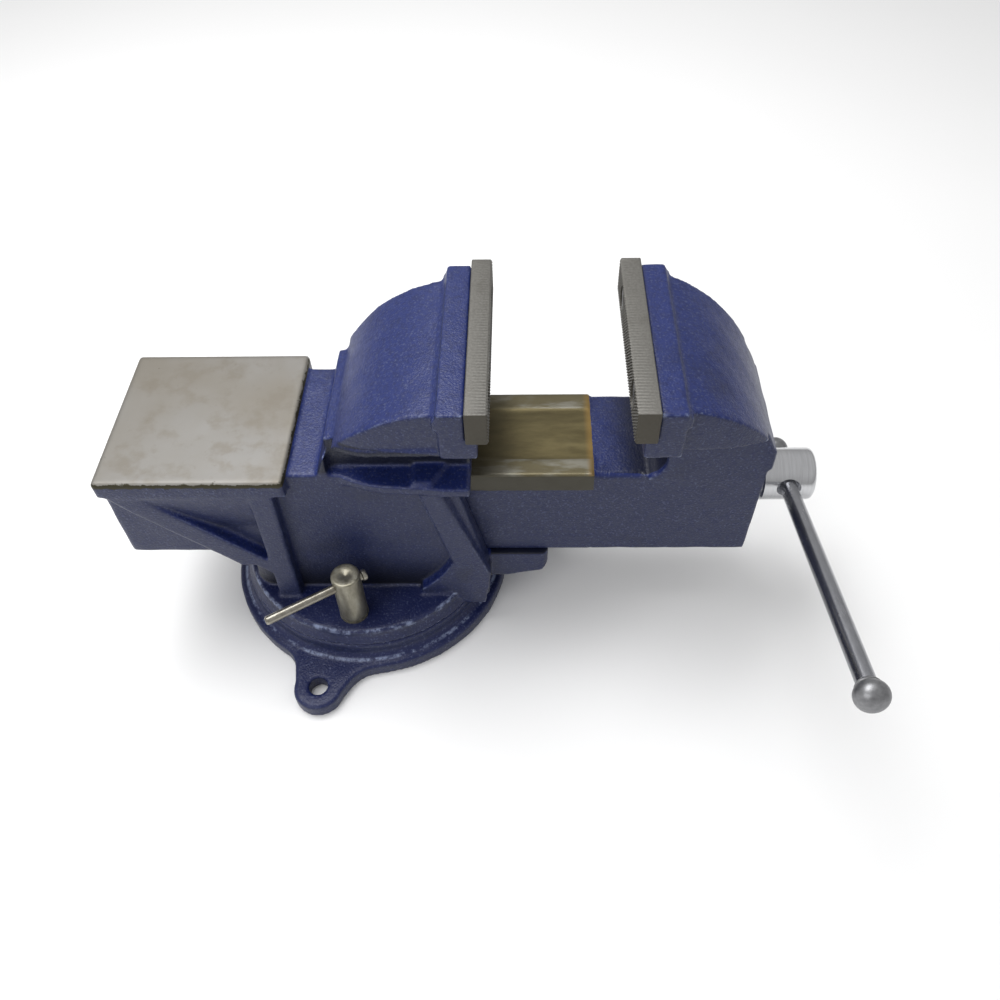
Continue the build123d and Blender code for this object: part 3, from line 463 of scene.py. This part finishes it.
def evaluated(mesh, modifiers, name="made"):
    """The mesh after these modifiers, each (type, settings)."""
    holder = bpy.data.objects.new("holder", mesh)
    bpy.context.scene.collection.objects.link(holder)
    for kind, settings in modifiers:
        modifier = holder.modifiers.new(kind, kind)
        for key, value in settings.items():
            setattr(modifier, key, value)
    bpy.context.view_layer.update()
    graph = bpy.context.evaluated_depsgraph_get()
    result = bpy.data.meshes.new_from_object(holder.evaluated_get(graph))
    result.name = name
    bpy.data.objects.remove(holder)
    return result


def clean(mesh, *steps):
    """Runs bmesh steps on a mesh and turns its faces outwards."""
    bm = bmesh.new()
    bm.from_mesh(mesh)
    for step in steps:
        step(bm)
    bmesh.ops.recalc_face_normals(bm, faces=bm.faces)
    bm.to_mesh(mesh)
    bm.free()
    return mesh


def merge_close(bm):
    bmesh.ops.remove_doubles(bm, verts=bm.verts, dist=MERGE)


def sharpen(mesh, degrees):
    """Smooth faces with hard edges above an angle."""
    mesh.polygons.foreach_set("use_smooth", [True] * len(mesh.polygons))
    mesh.set_sharp_from_angle(angle=math.radians(degrees))
    return mesh


def casting_mesh(node, voxel, target_faces, passes, bare_test):
    """A CAD casting with rounded edges and the slight unevenness of sand-cast iron."""
    work = nodes[node].data.copy()
    bm = bmesh.new()
    bm.from_mesh(work)
    merge_close(bm)
    bm.to_mesh(work)
    bm.free()
    fine = evaluated(work, [("REMESH", {"mode": "VOXEL", "voxel_size": voxel, "adaptivity": 0.0}),
                            ("SMOOTH", {"factor": 0.5, "iterations": passes})])
    count = len(fine.vertices)
    place = np.empty(count * 3, np.float32)
    fine.vertices.foreach_get("co", place)
    place = place.reshape(-1, 3)
    normal = np.empty(count * 3, np.float32)
    fine.vertices.foreach_get("normal", normal)
    normal = normal.reshape(-1, 3)
    wave = np.zeros(count)
    for k, (direction, phase) in enumerate(WAVES):
        wave += np.sin(place @ np.array(direction) + phase) / (1 + 0.5 * k)
    keep = bare_test(place)
    place += normal * (wave * WAVE_HEIGHT * (1 - keep))[:, None]
    low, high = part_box(node)
    np.clip(place, low, high, out=place)
    fine.vertices.foreach_set("co", place.reshape(-1))
    fine.update()
    ratio = min(1.0, target_faces / (2 * len(fine.polygons)))
    cast = evaluated(fine, [("DECIMATE", {"ratio": ratio})], node + "_cast")
    cast.polygons.foreach_set("use_smooth", [True] * len(cast.polygons))
    return cast


def lathe(profile, segments=SEGMENTS):
    """Closed solid turned about +Z from (radius, z) points; ends on the axis are closed."""
    vertices, rings = [], []
    for radius, z in profile:
        if radius == 0:
            rings.append([len(vertices)])
            vertices.append((0, 0, z))
        else:
            start = len(vertices)
            for i in range(segments):
                angle = 2 * math.pi * i / segments
                vertices.append((radius * math.cos(angle), radius * math.sin(angle), z))
            rings.append(list(range(start, start + segments)))
    faces = []
    for a, b in zip(rings, rings[1:]):
        for i in range(segments):
            j = (i + 1) % segments
            if len(a) == 1 and len(b) == 1:
                continue
            if len(a) == 1:
                faces.append((a[0], b[j], b[i]))
            elif len(b) == 1:
                faces.append((a[i], a[j], b[0]))
            else:
                faces.append((a[i], a[j], b[j], b[i]))
    return mesh_from(vertices, faces)


def rounded(profile, bends):
    """Replace chosen corners of an open (radius, z) outline with small arcs."""
    out = []
    for i, point in enumerate(profile):
        bend = bends.get(i, 0)
        if not bend:
            out.append(point)
            continue
        here, before, after = Vector(point), Vector(profile[i - 1]), Vector(profile[i + 1])
        first = here + (before - here).normalized() * bend
        last = here + (after - here).normalized() * bend
        for k in range(BEND_STEPS + 1):
            t = k / BEND_STEPS
            out.append(tuple((1 - t) ** 2 * first + 2 * t * (1 - t) * here + t * t * last))
    return out


def moved(mesh, matrix):
    mesh.transform(matrix)
    mesh.update()
    return mesh


def carve(mesh, cutters, name="carved"):
    """The mesh without what the cutter meshes take away."""
    for cutter in cutters:
        holder = bpy.data.objects.new("cutter", cutter)
        bpy.context.scene.collection.objects.link(holder)
        mesh = evaluated(mesh, [("BOOLEAN", {"operation": "DIFFERENCE", "solver": "EXACT",
                                             "object": holder})], name)
        bpy.data.objects.remove(holder)
    return mesh


# ------------------------------------------------------------------ castings
def on_anvil(place):
    """1 for points on the ground anvil face, which stays flat."""
    return ((place[:, 2] > ANVIL_TOP - 0.004) & (place[:, 2] < ANVIL_TOP + 0.002)
            & (place[:, 0] < ANVIL_RIGHT + 0.001)).astype(float)


def on_rails(place):
    """1 for points along the machined part of the slide."""
    return (place[:, 0] < MACHINED_END + 0.001).astype(float)


def nowhere(place):
    return np.zeros(len(place))


flat_tests = {"fixed_body": on_anvil, "movable_jaw": on_rails, "swivel_base": nowhere}
for name, node, body, material, voxel, faces, passes in CASTINGS:
    mesh = casting_mesh(node, voxel, faces, passes, flat_tests[node])
    add_piece(name, mesh, material, body, [node])


# ------------------------------------------------------------------ jaw plates
def jaw_plate_mesh(node, toward):
    """Hardened plate with a diamond-cut gripping face; `toward` is 1 when that face looks to -X."""
    low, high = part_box(node)
    face_x = low.x if toward > 0 else high.x
    back_x = high.x if toward > 0 else low.x
    edge = PLATE_CHAMFER
    cell = TOOTH_PITCH / TOOTH_STEPS
    columns = int(round((high.y - low.y - 2 * edge) / cell))
    rows = int(round((high.z - low.z - 2 * edge) / cell))
    ys = np.linspace(low.y + edge, high.y - edge, columns + 1)
    zs = np.linspace(low.z + edge, high.z - edge, rows + 1)
    vertices, faces = [], []

    def tooth(y, z):
        """Depth of the diamond cut, 0 on the lands."""
        u = (y + z) / TOOTH_PITCH
        v = (y - z) / TOOTH_PITCH
        ridge = min(abs((u % 1) - 0.5), abs((v % 1) - 0.5)) * 2
        return TOOTH_DEPTH * (1 - min(1.0, 1.7 * ridge))

    for z in zs:
        for y in ys:
            vertices.append((face_x + toward * tooth(y, z), y, z))
    width = columns + 1
    for r in range(rows):
        for c in range(columns):
            quad = (r * width + c, (r + 1) * width + c, (r + 1) * width + c + 1, r * width + c + 1)
            faces.append(quad if toward > 0 else quad[::-1])
    border = list(range(width))
    border += [r * width + columns for r in range(1, rows + 1)]
    border += [rows * width + c for c in range(columns - 1, -1, -1)]
    border += [r * width for r in range(rows - 1, 0, -1)]
    middle_y, middle_z = (low.y + high.y) / 2, (low.z + high.z) / 2
    half_y, half_z = (high.y - low.y) / 2, (high.z - low.z) / 2

    def loop(x, inset):
        """Copy of the border at another X, closer to the middle."""
        made = []
        for index in border:
            y, z = vertices[index][1:]
            scale_y = (half_y - inset) / (half_y - edge)
            scale_z = (half_z - inset) / (half_z - edge)
            made.append(len(vertices))
            vertices.append((x, middle_y + (y - middle_y) * scale_y, middle_z + (z - middle_z) * scale_z))
        return made

    chain = [border, loop(face_x + toward * (edge + TOOTH_DEPTH), 0), loop(back_x - toward * edge, 0),
             loop(back_x, edge)]
    for a, b in zip(chain, chain[1:]):
        for i in range(len(border)):
            j = (i + 1) % len(border)
            quad = (a[i], a[j], b[j], b[i])
            faces.append(quad if toward > 0 else quad[::-1])
    faces.append(tuple(chain[-1][::-1]) if toward < 0 else tuple(chain[-1]))
    mesh = clean(mesh_from(vertices, faces))
    cutters = []
    sink_flat, sink_end = PLATE_SINK_DEPTHS
    for y in (-PLATE_SCREW_Y, PLATE_SCREW_Y):
        hole = lathe([(0, -0.002), (PLATE_SINK, -0.002), (PLATE_SINK, sink_flat), (PLATE_BORE, sink_end),
                      (PLATE_BORE, PLATE_BORE_END), (0, PLATE_BORE_END)], 48)
        turn = Matrix.Rotation(math.radians(90 * toward), 4, "Y")
        cutters.append(moved(hole, Matrix.Translation((face_x, y, middle_z)) @ turn))
    return sharpen(carve(mesh, cutters, node + "_cut"), 25)


for name, node, body, toward in (("fixed_plate_serrated", "fixed_jaw_plate", "body", -1),
                                 ("movable_plate_serrated", "movable_jaw_plate", "jaw", 1)):
    add_piece(name, jaw_plate_mesh(node, toward), "plate_steel", body, [node])


# ------------------------------------------------------------------ lead screw
def thread_mesh(start, end):
    """Single-start trapezoidal thread along X, with its helix in the mesh."""
    turns = int(math.ceil((end - start) / THREAD_PITCH)) + 1
    around = 48
    vertices, faces, rows = [], [], []
    for turn in range(-1, turns):
        for share, depth in THREAD_PROFILE:
            radius = SCREW_RADIUS - depth * THREAD_DEPTH
            row = []
            for j in range(around):
                x = min(max(start + (turn + share + j / around) * THREAD_PITCH, start), end)
                angle = 2 * math.pi * j / around
                row.append(len(vertices))
                vertices.append((x, radius * math.cos(angle), SCREW_Z + radius * math.sin(angle)))
            rows.append(row)
    per_turn = len(THREAD_PROFILE)
    for i in range(len(rows) - 1):
        for j in range(around):
            if j < around - 1:
                faces.append((rows[i][j], rows[i + 1][j], rows[i + 1][j + 1], rows[i][j + 1]))
            elif i + per_turn + 1 < len(rows):
                a, b = rows[i + per_turn], rows[i + per_turn + 1]
                faces.append((rows[i][j], rows[i + 1][j], b[0], a[0]))

    def close_ends(bm):
        bmesh.ops.dissolve_degenerate(bm, edges=bm.edges, dist=MERGE)
        ends = [e for e in bm.edges if len(e.link_faces) == 1]
        bmesh.ops.holes_fill(bm, edges=ends, sides=0)

    return sharpen(clean(mesh_from(vertices, faces), merge_close, close_ends), 40)


screw_low, screw_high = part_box("lead_screw")
thread_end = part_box("retaining_washer")[0].x - THREAD_RUNOUT
add_piece("lead_screw_thread", thread_mesh(screw_low.x, thread_end), "thread_steel", "screw",
          ["lead_screw"])

head_radius = (screw_high.z - screw_low.z) / 2
tip = screw_high.x
collar_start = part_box("thrust_washer")[1].x
head_corner = 8
outline = rounded([
    (0, thread_end), (SCREW_RADIUS - THREAD_DEPTH, thread_end), (SCREW_RADIUS, thread_end + 0.002),
    (SCREW_RADIUS, collar_start), (COLLAR_RADIUS, collar_start), (COLLAR_RADIUS, HEAD_START),
    (head_radius - 0.0012, HEAD_START), (head_radius, HEAD_START + HEAD_CHAMFER), (head_radius, tip),
    (0.004, tip), (0.0025, tip - 0.0018), (0, tip - 0.0018)], {head_corner: HEAD_ROUND})
along_x = Matrix.Rotation(math.radians(90), 4, "Y")
along_handle = (Matrix.Translation((HANDLE_X, 0, SCREW_Z))
                @ Matrix.Rotation(math.radians(90) - HANDLE_TILT, 4, "X"))
head = moved(lathe(outline), Matrix.Translation((0, 0, SCREW_Z)) @ along_x)
flare = HANDLE_BORE + BORE_FLARE
drill = lathe([(0, -BORE_REACH), (flare, -BORE_REACH), (HANDLE_BORE, -BORE_STRAIGHT),
               (HANDLE_BORE, BORE_STRAIGHT), (flare, BORE_REACH), (0, BORE_REACH)])
head = sharpen(carve(head, [moved(drill, along_handle)], "head_cut"), 30)
add_piece("lead_screw_head", head, "bright_steel", "screw", ["lead_screw"])


# ------------------------------------------------------------------ handle
near_inner = KNOB_NEAR - KNOB_DEPTH / 2 + KNOB_LAP
far_inner = KNOB_FAR + KNOB_DEPTH / 2 - KNOB_LAP
end_radius = HANDLE_RADIUS - HANDLE_EDGE
bar = lathe([(0, far_inner), (end_radius, far_inner), (HANDLE_RADIUS, far_inner + HANDLE_EDGE),
             (HANDLE_RADIUS, near_inner - HANDLE_EDGE), (end_radius, near_inner), (0, near_inner)],
            ROD_SEGMENTS)
add_piece("handle_rod", sharpen(moved(bar, along_handle), 32), "handle_steel", "handle", ["handle_bar"])


def knob_mesh(flip, inner):
    """Upset round end with a short neck and a flattened crown."""
    steps = 14
    crown = 0.0022
    profile = [(0, 0), (0.0062, 0), (0.0072, 0.0008), (0.0078, 0.0018)]
    for i in range(steps + 1):
        angle = math.radians(-52 + 118 * i / steps)
        profile.append((crown + (KNOB_RADIUS - crown) * math.cos(angle), 0.0089 + 0.0082 * math.sin(angle)))
    profile += [(0.0036, KNOB_DEPTH - 0.0002), (0.0018, KNOB_DEPTH), (0, KNOB_DEPTH)]
    turn = Matrix.Rotation(math.pi, 4, "X") if flip else Matrix.Identity(4)
    place = along_handle @ Matrix.Translation((0, 0, inner)) @ turn
    return sharpen(moved(lathe(profile, ROD_SEGMENTS), place), 40)


for end, flip, inner in (("near", False, near_inner), ("far", True, far_inner)):
    add_piece("handle_end_" + end, knob_mesh(flip, inner), "knob_steel", "handle",
              ["handle_knob_" + end])


# ------------------------------------------------------------------ swivel locks
def lock_pieces(prefix, side):
    """Round lock nut with its cross bar; `side` is 1 on the +Y side of the vise."""
    low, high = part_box(prefix + "_lock_nut")
    middle = (low + high) / 2
    radius = (high.y - low.y) / 2
    height = high.z - low.z
    top_corner = 3
    outline = rounded([
        (LOCK_BORE, 0), (radius - 0.001, 0), (radius, 0.001), (radius, height), (0.0036, height),
        (0.0012, height - LOCK_DIMPLE), (0, height - LOCK_DIMPLE)], {top_corner: LOCK_RIM})
    bore_end = height - LOCK_CAP
    nut = lathe([(0, bore_end), (LOCK_BORE, bore_end)] + outline)
    nut = moved(nut, Matrix.Translation((middle.x, middle.y, low.z)))
    line = (Matrix.Translation((middle.x, middle.y, LOCK_BAR_Z))
            @ Matrix.Rotation(-side * LOCK_ANGLE, 4, "Z") @ along_x)
    bore = lathe([(0, -0.02), (LOCK_CROSS_BORE, -0.02), (LOCK_CROSS_BORE, 0.02), (0, 0.02)],
                 SMALL_SEGMENTS)
    nut = sharpen(carve(nut, [moved(bore, line)], prefix + "_nut_cut"), 30)
    body = prefix + "_lock"
    add_piece(body + "_turned", nut, "lock_zinc", body, [prefix + "_lock_nut"])
    knob_corner = 5
    outline = rounded([
        (0, LOCK_BAR_LONG), (LOCK_BAR_RADIUS - 0.0010, LOCK_BAR_LONG),
        (LOCK_BAR_RADIUS, LOCK_BAR_LONG + 0.0013), (LOCK_BAR_RADIUS, LOCK_BAR_SHORT - 0.0042),
        (LOCK_KNOB_RADIUS, LOCK_BAR_SHORT - 0.0034), (LOCK_KNOB_RADIUS, LOCK_BAR_SHORT),
        (0, LOCK_BAR_SHORT)], {knob_corner: 0.0016})
    rod = sharpen(moved(lathe(outline, SMALL_SEGMENTS), line), 30)
    add_piece(prefix + "_bar_turned", rod, "lock_bar_steel", prefix + "_bar", [prefix + "_lock_bar"])


lock_pieces("front", -1)
lock_pieces("rear", 1)


# ------------------------------------------------------------------ carried-over CAD nodes
carried = {
    "fixed_plate_screws": "black_steel", "movable_plate_screws": "black_steel",
    "thrust_washer": "bright_steel", "retaining_washer": "plain_steel", "split_pin": "plain_steel",
    "screw_spring": "plain_steel", "screw_nut": "nut_iron", "nut_bolt": "black_steel",
    "nut_bolt_washer": "plain_steel", "clamp_bolts": "plain_steel", "clamp_washers": "lock_zinc",
}
for node, material in carried.items():
    for entry in nodes[node].material_slots:
        entry.material = materials[material]


# ------------------------------------------------------------------ camera
CAMERA_PLACE = (0.12416, -0.4467, 0.61849)
CAMERA_DIP = math.radians(50.45)
CAMERA_HEADING = math.radians(-2.28)
CAMERA_ROLL = math.radians(-1.96)
CAMERA_LENS = 32.6585
CAMERA_SENSOR = 36

forward = Vector((math.sin(CAMERA_HEADING) * math.cos(CAMERA_DIP),
                  math.cos(CAMERA_HEADING) * math.cos(CAMERA_DIP), -math.sin(CAMERA_DIP)))
level = Vector((math.cos(CAMERA_HEADING), -math.sin(CAMERA_HEADING), 0))
upright = level.cross(forward)
right = level * math.cos(CAMERA_ROLL) + upright * math.sin(CAMERA_ROLL)
above = upright * math.cos(CAMERA_ROLL) - level * math.sin(CAMERA_ROLL)
camera_data = bpy.data.cameras.new("camera")
camera_data.lens = CAMERA_LENS
camera_data.sensor_width = CAMERA_SENSOR
camera = bpy.data.objects.new("camera", camera_data)
rotation = Matrix((right, above, -forward)).transposed().to_4x4()
camera.matrix_world = Matrix.Translation(CAMERA_PLACE) @ rotation
bpy.context.scene.collection.objects.link(camera)
bpy.context.scene.camera = camera

# ------------------------------------------------------------------ floor and light
FLOOR_HALF = 6.0
corners = [(x * FLOOR_HALF, y * FLOOR_HALF, 0) for x, y in ((-1, -1), (1, -1), (1, 1), (-1, 1))]
floor_mesh = mesh_from(corners, [(0, 1, 2, 3)], "floor")
floor_graph = Graph("floor_paper")
floor_tone = floor_graph.mix(floor_graph.noise(3.0, 2.0), (0.90, 0.90, 0.90, 1), (0.93, 0.93, 0.93, 1))
floor_mesh.materials.append(floor_graph.finish(floor_tone, 0.9, 0.0))
floor = bpy.data.objects.new("floor", floor_mesh)
bpy.context.scene.collection.objects.link(floor)

world = bpy.data.worlds.new("studio")
bpy.context.scene.world = world
world.use_nodes = True
sky = world.node_tree.nodes["Background"]
direction = world.node_tree.nodes.new("ShaderNodeTexCoord")
split = world.node_tree.nodes.new("ShaderNodeSeparateXYZ")
fade = world.node_tree.nodes.new("ShaderNodeMapRange")
fade.interpolation_type = "SMOOTHSTEP"
for key, value in {"From Min": -0.05, "From Max": 0.75, "To Min": 0.44, "To Max": 0.60}.items():
    fade.inputs[key].default_value = value
world.node_tree.links.new(direction.outputs["Generated"], split.inputs[0])
world.node_tree.links.new(split.outputs[2], fade.inputs["Value"])
world.node_tree.links.new(fade.outputs[0], sky.inputs["Strength"])
sky.inputs["Color"].default_value = (1.0, 1.0, 1.0, 1)


def area_light(name, place, aim, width, height, power):
    """Rectangular soft light at a place, turned towards a point."""
    data = bpy.data.lights.new(name, "AREA")
    data.shape = "RECTANGLE"
    data.size, data.size_y, data.energy = width, height, power
    lamp = bpy.data.objects.new(name, data)
    turn = (Vector(aim) - Vector(place)).to_track_quat("-Z", "Y")
    lamp.matrix_world = Matrix.Translation(place) @ turn.to_matrix().to_4x4()
    bpy.context.scene.collection.objects.link(lamp)


area_light("overhead", (-0.30, 0.30, 1.35), (0.05, 0, 0.1), 1.1, 0.8, 17)
area_light("front_fill", (-0.7, -1.1, 1.0), (0.05, 0, 0.12), 0.9, 0.5, 6)
bpy.context.scene.view_settings.view_transform = "Standard"
